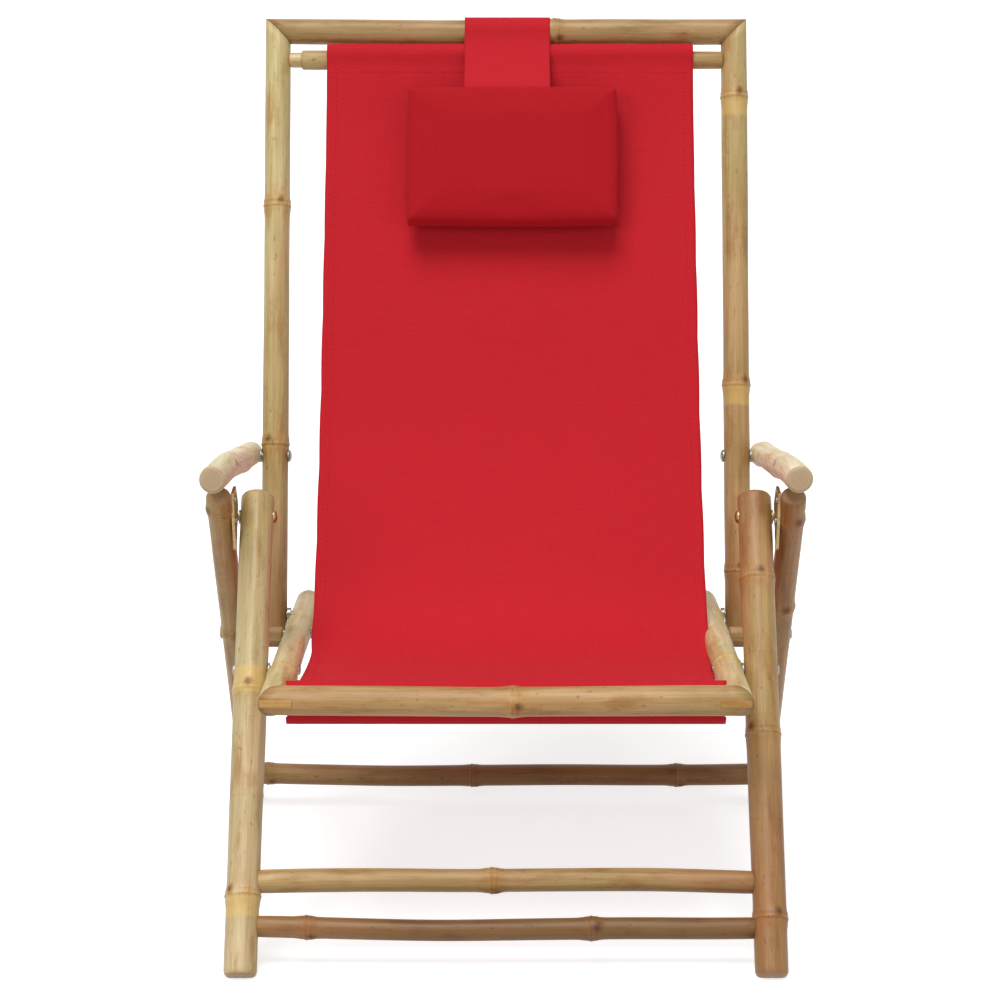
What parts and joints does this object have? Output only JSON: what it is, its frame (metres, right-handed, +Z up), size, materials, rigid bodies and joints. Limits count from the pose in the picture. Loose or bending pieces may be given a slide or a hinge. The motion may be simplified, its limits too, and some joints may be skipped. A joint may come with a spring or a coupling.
{
  "type": "bamboo reclining chair",
  "caption": "Low reclining chair of bamboo poles with a slung cloth seat and back, round armrests on notched plates, and a head pillow hung from the top rail by a strap.",
  "frame": {"origin": "middle of the bounding box in X and Y, on the floor", "axes": "+Z up, the sitter faces -Y, +X to the right seen from the front"},
  "size_m": [0.6252, 0.6973, 0.8884],
  "materials": {
    "bamboo": "satin",
    "steel": "satin",
    "red_cloth": "matte"
  },
  "bodies": {
    "front_legs": {"front_leg_left": "bamboo", "front_leg_right": "bamboo", "front_rung_upper": "bamboo", "front_rung_lower": "bamboo", "front_pivot_bolts": "steel", "latch_bolts": "steel"},
    "seat": {"seat_rail_left": "bamboo", "seat_rail_right": "bamboo", "seat_front_rail": "bamboo", "seat_rear_rail": "bamboo", "sling_front_rod": "bamboo", "back_pivot_bolts": "steel", "rear_pivot_bolts": "steel", "sling_seat": "red_cloth"},
    "rear_legs": {"rear_leg_left": "bamboo", "rear_leg_right": "bamboo", "rear_rung": "bamboo", "notch_plate_left": "steel", "notch_plate_right": "steel", "plate_screws": "steel", "arm_pins": "steel"},
    "back": {"back_pole_left": "bamboo", "back_pole_right": "bamboo", "back_top_rail": "bamboo", "sling_top_rod": "bamboo", "arm_bolts": "steel", "sling_back": "red_cloth"},
    "armrest_left": {"armrest_left": "bamboo", "arm_tab_left": "steel"},
    "armrest_right": {"armrest_right": "bamboo", "arm_tab_right": "steel"},
    "headrest": {"headrest_pillow": "red_cloth", "headrest_strap": "red_cloth"}
  },
  "joints": [
    {"name": "seat_tilt", "type": "hinge", "parent": "front_legs", "child": "seat", "pos_m": [0, -0.14825, 0.2581], "axis": [-1, 0, 0], "range_deg": [-6, 0]},
    {"name": "back_recline", "type": "hinge", "parent": "seat", "child": "back", "pos_m": [0, 0.12225, 0.2396], "axis": [-1, 0, 0], "range_deg": [0, 12]},
    {"name": "rear_legs_swing", "type": "hinge", "parent": "seat", "child": "rear_legs", "pos_m": [0, 0.02195, 0.2465], "axis": [-1, 0, 0], "range_deg": [0, 12.1]},
    {"name": "armrest_left_turn", "type": "hinge", "parent": "back", "child": "armrest_left", "pos_m": [0, 0.17825, 0.409], "axis": [-1, 0, 0], "range_deg": [-4.7, 0]},
    {"name": "armrest_right_turn", "type": "hinge", "parent": "back", "child": "armrest_right", "pos_m": [0, 0.17825, 0.409], "axis": [-1, 0, 0], "range_deg": [-4.7, 0]},
    {"name": "headrest_swing", "type": "hinge", "parent": "back", "child": "headrest", "pos_m": [0, 0.33125, 0.871], "axis": [-1, 0, 0], "range_deg": [0, 60]}
  ],
  "couplings": [
    {"joint": "seat_tilt", "follows": "back_recline", "ratio": -0.475},
    {"joint": "rear_legs_swing", "follows": "back_recline", "ratio": 1},
    {"joint": "armrest_left_turn", "follows": "back_recline", "ratio": -0.376},
    {"joint": "armrest_right_turn", "follows": "back_recline", "ratio": -0.376}
  ]
}
